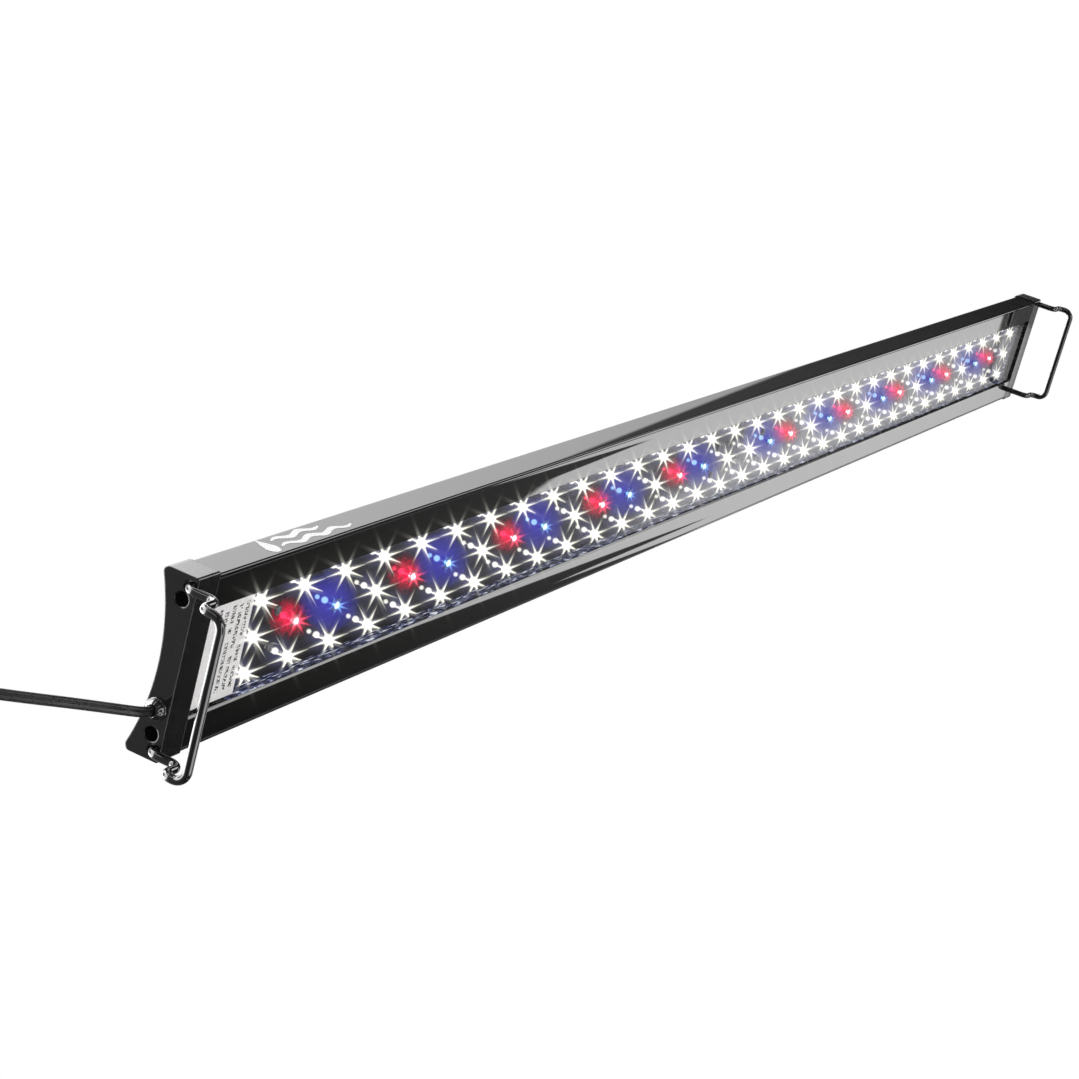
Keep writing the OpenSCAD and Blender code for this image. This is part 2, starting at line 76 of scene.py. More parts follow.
class Tree:
    """A node tree, with short calls for the nodes that the materials and the world share."""

    def __init__(self, tree):
        self.tree = tree
        tree.nodes.clear()

    def add(self, kind, **settings):
        node = self.tree.nodes.new(kind)
        for key, value in settings.items():
            setattr(node, key, value)
        return node

    def link(self, source, target):
        self.tree.links.new(source, target)

    def put(self, value, target):
        """Sets an input to a number or a colour, or links an output to it."""
        if isinstance(value, bpy.types.NodeSocket):
            self.link(value, target)
        elif isinstance(value, tuple) and len(value) == 3 and target.type == "RGBA":
            target.default_value = (*value, 1.0)
        else:
            target.default_value = value

    def math(self, operation, a, b=0.0, c=0.0):
        node = self.add("ShaderNodeMath", operation=operation)
        for value, target in zip((a, b, c), node.inputs):
            self.put(value, target)
        return node.outputs[0]

    def plus(self, a, b):
        return self.math("ADD", a, b)

    def minus(self, a, b):
        return self.math("SUBTRACT", a, b)

    def times(self, a, b):
        return self.math("MULTIPLY", a, b)

    def over(self, a, b):
        return self.math("DIVIDE", a, b)

    def split(self, vector):
        node = self.add("ShaderNodeSeparateXYZ")
        self.link(vector, node.inputs[0])
        return node.outputs[0], node.outputs[1], node.outputs[2]

    def ramp(self, source, *stops, curve="LINEAR"):
        """A colour ramp through (position, colour) stops. A bare number is a grey."""
        node = self.add("ShaderNodeValToRGB")
        node.color_ramp.interpolation = curve
        elements = node.color_ramp.elements
        while len(elements) < len(stops):
            elements.new(0.5)
        for element, (position, colour) in zip(elements, stops):
            element.position = position
        for element, (position, colour) in zip(elements, stops):
            grey = not isinstance(colour, tuple)
            element.color = (colour, colour, colour, 1.0) if grey else (*colour, 1.0)
        self.put(source, node.inputs["Fac"])
        return node.outputs["Color"]

    def remap(self, source, low, high, from_low=0.0, from_high=1.0, smooth=False):
        """Low to high as the source goes from from_low to from_high, held beyond them."""
        node = self.add("ShaderNodeMapRange")
        node.interpolation_type = "SMOOTHSTEP" if smooth else "LINEAR"
        self.put(source, node.inputs["Value"])
        node.inputs["From Min"].default_value = from_low
        node.inputs["From Max"].default_value = from_high
        node.inputs["To Min"].default_value = low
        node.inputs["To Max"].default_value = high
        return node.outputs["Result"]

    def step(self, source, low, high):
        """0 below low, 1 above high and smooth between them."""
        return self.remap(source, 0.0, 1.0, low, high, smooth=True)

    def above(self, source, limit):
        return self.math("GREATER_THAN", source, limit)

    def below(self, source, limit):
        return self.math("LESS_THAN", source, limit)

    def size_of(self, source):
        """A number without its sign."""
        return self.math("ABSOLUTE", source)

    def blend(self, factor, a, b):
        node = self.add("ShaderNodeMix", data_type="RGBA")
        self.put(factor, node.inputs["Factor"])
        self.put(a, node.inputs[6])
        self.put(b, node.inputs[7])
        return node.outputs[2]

    def sum_colours(self, a, b):
        node = self.add("ShaderNodeMix", data_type="RGBA", blend_type="ADD")
        node.inputs["Factor"].default_value = 1.0
        self.put(a, node.inputs[6])
        self.put(b, node.inputs[7])
        return node.outputs[2]

    def tint(self, colour, amount):
        """A colour scaled by a number."""
        node = self.add("ShaderNodeMix", data_type="RGBA", blend_type="MULTIPLY")
        node.inputs["Factor"].default_value = 1.0
        self.put(colour, node.inputs[6])
        self.put(amount, node.inputs[7])
        return node.outputs[2]


class Shader(Tree):
    """A material's node tree."""

    def __init__(self, name):
        self.material = bpy.data.materials.new(name)
        self.material.use_nodes = True
        super().__init__(self.material.node_tree)
        self.output = self.add("ShaderNodeOutputMaterial")
        self.coords = self.add("ShaderNodeTexCoord").outputs["Object"]

    def scaled(self, scale):
        """Object coordinates in metres, multiplied along each axis."""
        mapping = self.add("ShaderNodeMapping")
        mapping.inputs["Scale"].default_value = scale
        self.link(self.coords, mapping.inputs["Vector"])
        return mapping.outputs["Vector"]

    def noise(self, scale, detail=4.0, roughness=0.55):
        node = self.add("ShaderNodeTexNoise")
        node.inputs["Scale"].default_value = 1.0
        node.inputs["Detail"].default_value = detail
        node.inputs["Roughness"].default_value = roughness
        self.link(self.scaled(scale), node.inputs["Vector"])
        return node.outputs["Fac"]

    def bump(self, height, strength, distance, normal=None):
        node = self.add("ShaderNodeBump")
        node.inputs["Strength"].default_value = strength
        node.inputs["Distance"].default_value = distance
        self.link(height, node.inputs["Height"])
        if normal is not None:
            self.link(normal, node.inputs["Normal"])
        return node.outputs["Normal"]

    def soft_edges(self, radius):
        node = self.add("ShaderNodeBevel", samples=4)
        node.inputs["Radius"].default_value = radius
        return node.outputs["Normal"]

    def principled(self, **inputs):
        node = self.add("ShaderNodeBsdfPrincipled")
        for key, value in inputs.items():
            self.put(value, node.inputs[key.replace("_", " ")])
        self.link(node.outputs["BSDF"], self.output.inputs["Surface"])
        return node


# ---------------------------------------------------------------- materials


def shade(colour, amount):
    """A colour made darker or lighter by a number."""
    return tuple(amount * c for c in colour)


# Painted glints of the lamps' light go on what lies between these faces of the extrusion.
BEZEL_INNER_Z, WEB_TOP_Z = 1.5 * MM, 9 * MM
WALL_INNER_Y = 38 * MM
SCREW_TOP_Z, SCREW_REACH_Y = 6 * MM, 20 * MM


def anodised_aluminium():
    """Polished black anodised extrusion, with faint drawing lines along its length.

    Beside the lamps the inner walls carry painted glints of their light, seen by the camera only.
    """
    s = Shader("anodised_aluminium")
    drawn = s.noise((5, 1100, 1100), 5.0)
    cloud = s.noise((9, 60, 60), 3.0)
    x, y, z = s.split(s.coords)
    between_faces = s.times(s.above(z, BEZEL_INNER_Z), s.below(z, WEB_TOP_Z))
    between_walls = s.times(s.below(s.size_of(y), WALL_INNER_Y), s.above(x, LABEL_HIGH.x))
    inside = s.times(between_faces, between_walls)
    # painted glints: emission streaks on the inner walls, which only the camera sees
    glints = s.ramp(
        s.noise((110, 1500, 300), 3.0, 0.6),
        (0.42, (0.0, 0.0, 0.01)), (0.53, (0.03, 0.035, 0.12)), (0.585, (0.25, 0.29, 0.5)),
        (0.63, (1.1, 1.15, 1.2)),
    )
    path = s.add("ShaderNodeLightPath")
    glow = s.times(inside, path.outputs["Is Camera Ray"])
    s.principled(
        Base_Color=s.ramp(cloud, (0.3, 0.006), (0.75, 0.011)),
        Emission_Color=glints,
        Emission_Strength=glow,
        Roughness=0.5,
        Specular_IOR_Level=0.0,
        Coat_Weight=1.0,
        Coat_Roughness=s.remap(cloud, 0.004, 0.008),
        Coat_IOR=1.5,
        Normal=s.bump(drawn, 0.1, 0.00003),
    )
    return s.material


def cap_plastic():
    """Moulded ABS with a fine satin grain and softly worn edges."""
    s = Shader("cap_plastic")
    grain = s.noise((2600, 2600, 2600), 2.0)
    cloud = s.noise((50, 50, 50), 3.0)
    normal = s.bump(grain, 0.2, 0.00004, s.soft_edges(0.45 * MM))
    s.principled(
        Base_Color=s.ramp(cloud, (0.3, 0.009), (0.8, 0.015)),
        Roughness=s.remap(cloud, 0.2, 0.3),
        Specular_IOR_Level=0.02,
        Coat_Weight=1.0,
        Coat_Roughness=0.035,
        Coat_Normal=s.soft_edges(0.8 * MM),
        Normal=normal,
    )
    return s.material


def foam_rubber(name, colour):
    """Matt rubber with fine pores."""
    s = Shader(name)
    pores = s.noise((3200, 3200, 3200), 4.0, 0.7)
    s.principled(
        Base_Color=s.ramp(pores, (0.3, shade(colour, 0.6)), (0.7, colour)),
        Roughness=0.85,
        Normal=s.bump(pores, 0.5, 0.0001),
    )
    return s.material


def plated_steel():
    """Plated steel. The screws between the lamps carry a faint painted glint of their light."""
    s = Shader("screw_steel")
    scratches = s.noise((1500, 1500, 200), 4.0)
    _, y, z = s.split(s.coords)
    among_lamps = s.times(s.below(s.size_of(y), SCREW_REACH_Y), s.below(z, SCREW_TOP_Z))
    s.principled(
        # painted glint: a faint emission on the screws among the lamps
        Emission_Color=s.ramp(scratches, (0.2, (0.2, 0.2, 0.26)), (0.8, (0.5, 0.5, 0.6))),
        Emission_Strength=s.times(among_lamps, 0.1),
        Base_Color=s.ramp(scratches, (0.2, (0.22, 0.22, 0.23)), (0.8, (0.5, 0.5, 0.52))),
        Metallic=1.0,
        Roughness=s.remap(scratches, 0.22, 0.4),
        Normal=s.bump(scratches, 0.15, 0.00004, s.soft_edges(0.15 * MM)),
    )
    return s.material


WHITE_FIRST, RED_FIRST, BLUE_FIRST = 0.5 * COL_PITCH, 1.5 * COL_PITCH, 2.5 * COL_PITCH
GROUPS = 3 * COL_PITCH

# Rows of lamps of each colour: where the first stands from either end, their pitch and their row.
LAMP_ROWS = {
    "white": ((WHITE_FIRST, GROUPS, 0.0), (WHITE_FIRST, COL_PITCH, ROW_PITCH)),
    "red": ((RED_FIRST, GROUPS, 0.0),),
    "blue": ((BLUE_FIRST, GROUPS, 0.0),),
}
LAMP_COLOUR = {
    "white": (1.0, 0.99, 0.86),
    "red": (1.0, 0.03, 0.1),
    "blue": (0.35, 0.65, 1.0),
}

STAR_TURN = math.radians(20)     # angle in the picture of the first ray of a lamp
FAR_RAYS = 2.2                   # how much wider rays are at the far end than at the near one
GLOW_DEPTH = 3 * MM              # how far behind the board its halos seem to lie
LIT_FACE_RISE = 1.5 * MM         # how far in front of the board the lamps are lit


class LampField:
    """Works out, in a shader, how far a point of the board is from the nearest lamp of a kind."""

    def __init__(self, shader):
        self.s = shader
        geometry = shader.add("ShaderNodeNewGeometry")
        self.x, self.y, self.z = shader.split(shader.coords)
        self.in_x, self.in_y, self.in_z = shader.split(geometry.outputs["Incoming"])

    def place(self, depth):
        """The point seen at a further depth behind this one, along the line of sight."""
        s = self.s
        reach = s.over(depth, self.in_z)
        x = s.plus(self.x, s.times(self.in_x, reach))
        y = s.plus(self.y, s.times(self.in_y, reach))
        return x, y

    def offset(self, place, first, pitch, row):
        """How far a place is from the nearest lamp of one row, along and across the light.

        The row has no lamps outside its first one, nor between its last one and the middle.
        """
        s = self.s
        x, y = place
        from_mid = s.minus(x, GRID_MID)
        inward = s.minus(GRID_HALF, s.size_of(from_mid))
        past_first = s.minus(inward, first)
        repeated = s.math("WRAP", past_first, pitch / 2, -pitch / 2)
        span = math.floor((GRID_HALF - first) / pitch) * pitch
        not_before = s.math("MINIMUM", repeated, past_first)
        along = s.math("MAXIMUM", not_before, s.minus(past_first, span))
        across = s.minus(s.size_of(y), row)
        dx = s.times(along, s.times(s.math("SIGN", from_mid), -1.0))
        dy = s.times(across, s.math("SIGN", y))
        return dx, dy

    def distance(self, place, kind):
        """Distance, square to the line of sight, to the nearest lamp of a kind."""
        s = self.s
        nearest = 1.0
        for row in LAMP_ROWS[kind]:
            dx, dy = self.offset(place, *row)
            in_sight = s.plus(s.times(dx, self.in_x), s.times(dy, self.in_y))
            squared = s.plus(s.times(dx, dx), s.times(dy, dy))
            square_to = s.math("MAXIMUM", s.minus(squared, s.times(in_sight, in_sight)), 0.0)
            nearest = s.math("MINIMUM", nearest, s.math("SQRT", square_to))
        return nearest

    def star(self, place, kind, length, width):
        """Eight tapered rays round each lamp of a kind, as a lens shows them.

        A lens gives rays the same width in the picture at any distance, so far ones are wider.
        """
        s = self.s
        best = 0.0
        far = s.remap(self.x, 1.0, FAR_RAYS, CAP_LOW.x, -CAP_LOW.x)
        for row in LAMP_ROWS[kind]:
            dx, dy = self.offset(place, *row)
            flat = s.add("ShaderNodeCombineXYZ")
            s.put(dx, flat.inputs[0])
            s.put(dy, flat.inputs[1])
            turned = s.add(
                "ShaderNodeVectorTransform", vector_type="VECTOR",
                convert_from="WORLD", convert_to="CAMERA",
            )
            s.link(flat.outputs[0], turned.inputs[0])
            across, up, _ = s.split(turned.outputs[0])
            reach = s.math("SQRT", s.plus(s.times(across, across), s.times(up, up)))
            turn = s.minus(s.math("ARCTAN2", up, across), STAR_TURN)
            aside = s.math("WRAP", turn, math.pi / 8, -math.pi / 8)
            from_ray = s.size_of(s.times(aside, reach))
            left = s.remap(reach, 1.0, 0.0, 0.0, length)
            half = s.plus(s.times(s.times(left, far), width / 2), 0.01 * MM)
            ray = s.math("MAXIMUM", s.minus(1.0, s.over(from_ray, half)), 0.0)
            best = s.math("MAXIMUM", best, s.times(ray, s.times(left, left)))
        return best

    def spot(self, distance, radius, soft):
        """1 within a radius of the lamp and 0 beyond it, with a soft edge."""
        return self.s.remap(distance, 1.0, 0.0, radius - soft, radius + soft, smooth=True)

    def halo(self, distance, radius, power):
        """A glow that falls from 1 at the lamp to 0 at a radius."""
        near = self.s.remap(distance, 1.0, 0.0, 0.0, radius)
        return self.s.math("POWER", near, power)

    def ragged(self, size, reach):
        """An offset for a distance, which frays the edge of a glow."""
        s = self.s
        return s.times(s.minus(s.noise((1 / size,) * 3, 3.0, 0.7), 0.5), reach)


def clear_window():
    """Thin clear acrylic: what is behind it, plus a reflection that grows towards grazing view.

    The reflection is lost in the glare round the coloured lamps.
    """
    s = Shader("clear_window")
    ior = 1.49
    field = LampField(s)
    behind = field.place(s.minus(BOARD_FACE + GLOW_DEPTH, field.z))
    fray = field.ragged(2.2 * MM, 9 * MM)
    red = field.halo(s.plus(field.distance(behind, "red"), fray), 11 * MM, 0.8)
    blue = field.halo(s.plus(field.distance(behind, "blue"), fray), 14 * MM, 0.8)
    kept = s.times(s.remap(red, 1.0, 0.2), s.remap(blue, 1.0, 0.05))
    haze = s.noise((14, 90, 90), 4.0)
    clear = s.add("ShaderNodeBsdfTransparent")
    s.put((0.95, 0.95, 0.96), clear.inputs["Color"])
    shine = s.add("ShaderNodeBsdfGlossy")
    s.put(s.tint((0.37, 0.37, 0.37), kept), shine.inputs["Color"])
    s.put(s.remap(haze, 0.03, 0.07), shine.inputs["Roughness"])
    fresnel = s.add("ShaderNodeFresnel")
    geometry = s.add("ShaderNodeNewGeometry")
    s.put(s.remap(geometry.outputs["Backfacing"], ior, 1 / ior), fresnel.inputs["IOR"])
    mix = s.add("ShaderNodeMixShader")
    s.link(fresnel.outputs[0], mix.inputs["Fac"])
    s.link(clear.outputs["BSDF"], mix.inputs[1])
    s.link(shine.outputs["BSDF"], mix.inputs[2])
    s.link(mix.outputs["Shader"], s.output.inputs["Surface"])
    return s.material


def solder_mask(name, dark, light):
    """Solder mask over copper: long tracks along the board and a fine speckle.

    Returns the shader and its surface.
    """
    s = Shader(name)
    wave = s.add("ShaderNodeTexWave", wave_type="BANDS", bands_direction="Y")
    wave.inputs["Scale"].default_value = 1.0
    s.link(s.scaled((1, 85, 1)), wave.inputs["Vector"])
    tracks = s.math("GREATER_THAN", wave.outputs["Fac"], 0.82)
    speckle = s.noise((1200, 1200, 1200), 2.0)
    height = s.plus(tracks, s.times(speckle, 0.2))
    base = s.principled(
        Base_Color=s.ramp(height, (0.0, dark), (0.9, light)),
        Roughness=0.32,
        Normal=s.bump(height, 0.4, 0.00004),
    )
    return s, base


def driver_board_mask():
    s, _ = solder_mask("driver_board_mask", (0.005, 0.03, 0.012), (0.015, 0.07, 0.03))
    return s.material


def led_board_mask():
    """Solder mask with painted light: halos of stray light, flares and star rays round the lamps,
    and the window's repeated reflections of them, all seen by the camera only.
    """
    s, base = solder_mask("led_board_mask", (0.012, 0.013, 0.022), (0.022, 0.024, 0.04))
    field = LampField(s)
    surface = field.place(GLOW_DEPTH)
    soft_fray, fray = field.ragged(3.8 * MM, 6 * MM), field.ragged(1.6 * MM, 13 * MM)

    # kind, fray, radius, power and colour of each painted halo
    halos = (
        ("blue", soft_fray, 13.5 * MM, 0.65, (0.06, 0.05, 0.62)),
        ("red", fray, 10 * MM, 1.9, (1.8, 0.0, 0.1)),
        ("white", soft_fray, 10 * MM, 1.6, (0.08, 0.08, 0.2)),
    )
    glow = (0.0, 0.0, 0.0)
    for kind, offset, radius, power, colour in halos:
        reach = s.plus(field.distance(surface, kind), offset)
        glow = s.sum_colours(glow, s.tint(colour, field.halo(reach, radius, power)))

    # painted round flare of a white lamp, seen about its lit face
    lit_face = field.place(-LIT_FACE_RISE)
    from_heart = field.distance(lit_face, "white")
    for radius, edge, colour in (
        (0.95 * MM, 0.2 * MM, (38.0, 37.6, 33.0)),
        (1.4 * MM, 1.4 * MM, (2.2, 2.2, 1.8)),
    ):
        glow = s.sum_colours(glow, s.tint(colour, field.spot(from_heart, radius, edge)))

    # kind, length, width and colour of the painted star rays
    for kind, length, width, colour in (
        ("white", 13 * MM, 1.35 * MM, (3.6, 3.5, 2.9)),
        ("red", 8 * MM, 2.2 * MM, (3.4, 0.25, 0.5)),
        ("blue", 6 * MM, 1.6 * MM, (0.7, 1.5, 2.6)),
    ):
        glow = s.sum_colours(glow, s.tint(colour, field.star(lit_face, kind, length, width)))

    # depth, strength and radius of each painted reflection of a lamp in the window
    for depth, strength, radius in ((5.4 * MM, 1.45, 1.45 * MM), (9.4 * MM, 1.3, 1.0 * MM)):
        place = field.place(depth)
        for kind, colour in LAMP_COLOUR.items():
            dot = field.spot(field.distance(place, kind), radius, 0.45 * MM)
            glow = s.sum_colours(glow, s.tint(shade(colour, strength), dot))
    # all of this glow is painted light: emission that only the camera sees
    path = s.add("ShaderNodeLightPath")
    s.link(s.tint(glow, path.outputs["Is Camera Ray"]), base.inputs["Emission Color"])
    s.put(1.0, base.inputs["Emission Strength"])
    return s.material


def lit_package(kind, colour, glow, sparkle):
    """Plastic of a lamp's package, with a painted glow of the lamp in it spreading from its
    middle, seen by the camera only.
    """
    s = Shader(kind + "_lamp")
    grain = s.noise((1800, 1800, 1800), 2.0)
    field = LampField(s)
    fray = field.ragged(0.9 * MM, 3.4 * MM)
    reach = s.plus(field.distance((field.x, field.y), kind), fray)
    # painted glow: a halo round the lamp's middle, given as emission
    light = field.halo(reach, 3.4 * MM, 1.3)
    path = s.add("ShaderNodeLightPath")
    s.principled(
        Base_Color=s.ramp(grain, (0.25, shade(colour, 0.8)), (0.75, colour)),
        Roughness=0.35,
        Emission_Color=s.blend(s.step(light, 0.45, 0.75), glow, sparkle),
        Emission_Strength=s.times(light, path.outputs["Is Camera Ray"]),
        Normal=s.bump(grain, 0.15, 0.00004),
    )
    return s.material


def moulded_plastic(name, colour, roughness):
    """Plastic or ceramic with a fine grain and slight clouding."""
    s = Shader(name)
    grain = s.noise((2200, 2200, 2200), 3.0)
    cloud = s.noise((70, 70, 70), 2.0)
    s.principled(
        Base_Color=s.ramp(cloud, (0.25, shade(colour, 0.75)), (0.75, colour)),
        Roughness=s.remap(grain, roughness * 0.85, min(1.0, roughness * 1.15)),
        Normal=s.bump(grain, 0.15, 0.00004, s.soft_edges(0.2 * MM)),
    )
    return s.material


def plated_metal(name, dark, light, roughness):
    """Bright metal with fine brushing."""
    s = Shader(name)
    brushed = s.noise((900, 900, 2500), 4.0)
    s.principled(
        Base_Color=s.ramp(brushed, (0.2, dark), (0.8, light)),
        Metallic=1.0,
        Roughness=s.remap(brushed, roughness * 0.7, roughness * 1.3),
        Normal=s.bump(brushed, 0.1, 0.00003),
    )
    return s.material


def black_chrome():
    """Dark plated wire: gloss with fine drawing lines and slight clouding."""
    s = Shader("leg_wire")
    drawn = s.noise((700, 700, 700), 3.0)
    cloud = s.noise((120, 120, 120), 3.0)
    s.principled(
        Base_Color=s.ramp(cloud, (0.3, (0.02, 0.02, 0.021)), (0.8, (0.035, 0.035, 0.036))),
        Metallic=0.95,
        Roughness=s.remap(cloud, 0.05, 0.1),
        Coat_Weight=1.0,
        Coat_Roughness=0.02,
        Normal=s.bump(drawn, 0.06, 0.00005),
    )
    return s.material


def flex_rubber():
    """Black flex with a satin skin and faint scuffs."""
    s = Shader("cord_rubber")
    grain = s.noise((1800, 1800, 1800), 3.0)
    scuff = s.noise((90, 90, 90), 4.0, 0.65)
    s.principled(
        Base_Color=s.ramp(scuff, (0.35, (0.008, 0.008, 0.009)), (0.75, (0.02, 0.02, 0.021))),
        Roughness=s.remap(scuff, 0.2, 0.36),
        Specular_IOR_Level=0.6,
        Normal=s.bump(grain, 0.12, 0.00005),
    )
    return s.material


def gloss_rubber():
    """Strain relief of hard, glossy nylon."""
    s = Shader("grommet_nylon")
    grain = s.noise((900, 900, 900), 3.0)
    s.principled(
        Base_Color=s.ramp(grain, (0.3, 0.007), (0.75, 0.014)),
        Roughness=s.remap(grain, 0.06, 0.12),
        Specular_IOR_Level=0.3,
        Coat_Weight=1.0,
        Coat_Roughness=0.02,
        Normal=s.bump(grain, 0.06, 0.00003),
    )
    return s.material


def lamp_glow(kind, colour, strength, hot_strength):
    """The lit fill of a lamp with its hot middle. What it throws on other things is weaker."""
    s = Shader(kind + "_lamp_glow")
    field = LampField(s)
    hot = field.spot(field.distance((field.x, field.y), kind), 1.0 * MM, 0.15 * MM)
    grain = s.noise((2000, 2000, 2000), 2.0)
    emission = s.add("ShaderNodeEmission")
    s.link(s.ramp(grain, (0.2, shade(colour, 0.85)), (0.8, colour)), emission.inputs["Color"])
    path = s.add("ShaderNodeLightPath")
    seen = s.remap(hot, strength, hot_strength)
    shone = s.plus(s.times(path.outputs["Is Camera Ray"], s.minus(seen, 1.0)), 1.0)
    s.link(shone, emission.inputs["Strength"])
    s.link(emission.outputs["Emission"], s.output.inputs["Surface"])
    return s.material


def label_film():
    """White label with lines of greeked print that run across the light."""
    s = Shader("label_film")
    fibre = s.noise((500, 500, 500), 3.0)
    x, y, _ = s.split(s.coords)
    line_pitch, line_half, lines = 5.2 * MM, 20 * MM, 5
    first_line = LABEL_LOW.x + 9 * MM
    stroke_rate, word_rate = 1500.0, 210.0
    across = s.over(s.minus(x, first_line), line_pitch)
    line_number = s.math("FLOOR", across)
    in_line = s.size_of(s.minus(s.math("FRACT", across), 0.5))
    on_line = s.below(in_line, 0.26)

    def flecks(u, v, detail, least):
        """1 where a noise over a place (u, v) is more than the least."""
        noise = s.add("ShaderNodeTexNoise")
        noise.inputs["Scale"].default_value = 1.0
        noise.inputs["Detail"].default_value = detail
        place = s.add("ShaderNodeCombineXYZ")
        s.put(u, place.inputs[0])
        s.put(v, place.inputs[1])
        s.link(place.outputs[0], noise.inputs["Vector"])
        return s.above(noise.outputs["Fac"], least)

    strokes = flecks(s.times(across, 2.6), s.times(y, stroke_rate), 1.0, 0.5)
    words = flecks(s.times(line_number, 7.3), s.times(y, word_rate), 0.0, 0.4)
    among_lines = s.times(s.above(across, 0.0), s.below(across, float(lines)))
    in_block = s.times(among_lines, s.below(s.size_of(y), line_half))
    ink = s.times(s.times(s.times(strokes, words), on_line), in_block)
    paper = s.ramp(fibre, (0.3, 0.72), (0.7, 0.8))
    s.principled(
        Base_Color=s.blend(ink, paper, (0.05, 0.05, 0.05)),
        # painted light: the paper also glows, which keeps the label pale and bright
        Emission_Color=s.tint((1.0, 0.975, 0.94), s.blend(ink, paper, (0.0, 0.0, 0.0))),
        Emission_Strength=0.72,
        Roughness=0.5,
        Normal=s.bump(fibre, 0.1, 0.00003),
    )
    return s.material


def badge_ink():
    """White print with a faint painted glow, so that it stays white on the mirrored front."""
    s = Shader("badge_ink")
    fleck = s.noise((1400, 1400, 1400), 3.0)
    white = s.ramp(fleck, (0.3, 0.82), (0.7, 0.92))
    s.principled(
        Base_Color=white,
        # painted glow: the print emits a little light
        Emission_Color=white,
        Emission_Strength=0.25,
        Roughness=0.4,
        Normal=s.bump(fleck, 0.1, 0.00002),
    )
    return s.material


def floor_paint():
    """Pale floor that is clear from below, so that the underside can be seen."""
    s = Shader("floor_paint")
    cloud = s.noise((3, 3, 3), 3.0)
    diffuse = s.add("ShaderNodeBsdfDiffuse")
    s.link(s.ramp(cloud, (0.2, 0.8), (0.8, 0.84)), diffuse.inputs["Color"])
    clear = s.add("ShaderNodeBsdfTransparent")
    geometry = s.add("ShaderNodeNewGeometry")
    mix = s.add("ShaderNodeMixShader")
    s.link(geometry.outputs["Backfacing"], mix.inputs["Fac"])
    s.link(diffuse.outputs["BSDF"], mix.inputs[1])
    s.link(clear.outputs["BSDF"], mix.inputs[2])
    s.link(mix.outputs["Shader"], s.output.inputs["Surface"])
    return s.material


MATERIALS = {
    "anodised_aluminium": anodised_aluminium(),
    "cap_plastic": cap_plastic(),
    "gasket_rubber": foam_rubber("gasket_rubber", (0.02, 0.02, 0.02)),
    "screw_steel": plated_steel(),
    "clear_window": clear_window(),
    "seal_rubber": foam_rubber("seal_rubber", (0.1, 0.1, 0.1)),
    "led_board_mask": led_board_mask(),
    "thermal_pad_rubber": foam_rubber("thermal_pad_rubber", (0.4, 0.4, 0.42)),
    # the last two colours are each package's painted glow and the painted sparkle at its middle
    "white_lamp": lit_package("white", (0.8, 0.8, 0.76), (3.2, 3.15, 2.7), (9.0, 8.9, 8.0)),
    "red_lamp": lit_package("red", (0.8, 0.75, 0.74), (2.6, 0.1, 0.25), (6.0, 2.4, 2.8)),
    "blue_lamp": lit_package("blue", (0.74, 0.76, 0.8), (0.2, 0.35, 1.6), (1.2, 2.6, 4.0)),
    "driver_board_mask": driver_board_mask(),
    "chip_plastic": moulded_plastic("chip_plastic", (0.02, 0.02, 0.02), 0.5),
    "inductor_ferrite": moulded_plastic("inductor_ferrite", (0.06, 0.06, 0.065), 0.6),
    "capacitor_ceramic": moulded_plastic("capacitor_ceramic", (0.4, 0.27, 0.15), 0.4),
    "red_insulation": moulded_plastic("red_insulation", (0.5, 0.02, 0.02), 0.35),
    "black_insulation": moulded_plastic("black_insulation", (0.015, 0.015, 0.015), 0.35),
    "jumper_wire": plated_metal("jumper_wire", (0.5, 0.5, 0.5), (0.75, 0.75, 0.74), 0.2),
    "label_film": label_film(),
    "cord_rubber": flex_rubber(),
    "plug_plastic": moulded_plastic("plug_plastic", (0.016, 0.016, 0.017), 0.42),
    "plug_nickel": plated_metal("plug_nickel", (0.5, 0.49, 0.46), (0.75, 0.74, 0.7), 0.16),
    "plug_brass": plated_metal("plug_brass", (0.5, 0.36, 0.14), (0.75, 0.58, 0.26), 0.25),
    "leg_wire": black_chrome(),
    "bush_nylon": moulded_plastic("bush_nylon", (0.6, 0.6, 0.57), 0.4),
    "stop_steel": plated_metal("stop_steel", (0.3, 0.3, 0.31), (0.5, 0.5, 0.51), 0.3),
}
GROMMET_NYLON = gloss_rubber()
BADGE_INK = badge_ink()

for subpart in frame["record"]["subparts"]:
    part = NODES[subpart["node"]]
    part.data.materials.clear()
    part.data.materials.append(MATERIALS[subpart["material_slot"]])

# ---------------------------------------------------------------- mesh helpers


def new_piece(name, mesh_builder, body, materials, smooth=True):
    """Makes a mesh object from a bmesh that mesh_builder fills, and rides it on a body."""
    mesh = bpy.data.meshes.new(name)
    work = bmesh.new()
    mesh_builder(work)
    bmesh.ops.recalc_face_normals(work, faces=work.faces)
    work.to_mesh(mesh)
    work.free()
    piece = bpy.data.objects.new(name, mesh)
    SCENE.collection.objects.link(piece)
    for material in materials:
        mesh.materials.append(material)
    if smooth:
        mesh.shade_smooth()
    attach(piece, body)
    return piece


def skin(work, rings, cap_end=True):
    """Joins rings of points, each with the same count, into a tube with closed ends."""
    made = [[work.verts.new(point) for point in ring] for ring in rings]
    count = len(made[0])
    for a, b in zip(made, made[1:]):
        for i in range(count):
            j = (i + 1) % count
            work.faces.new((a[i], a[j], b[j], b[i]))
    work.faces.new(made[0])
    if cap_end:
        work.faces.new(made[-1])
    return made


def circle_points(radius, count, turn):
    """Points round a circle, of which the first lies at the angle turn."""
    angles = [turn + 2 * math.pi * i / count for i in range(count)]
    return [(radius * math.cos(angle), radius * math.sin(angle)) for angle in angles]


# ---------------------------------------------------------------- lamps

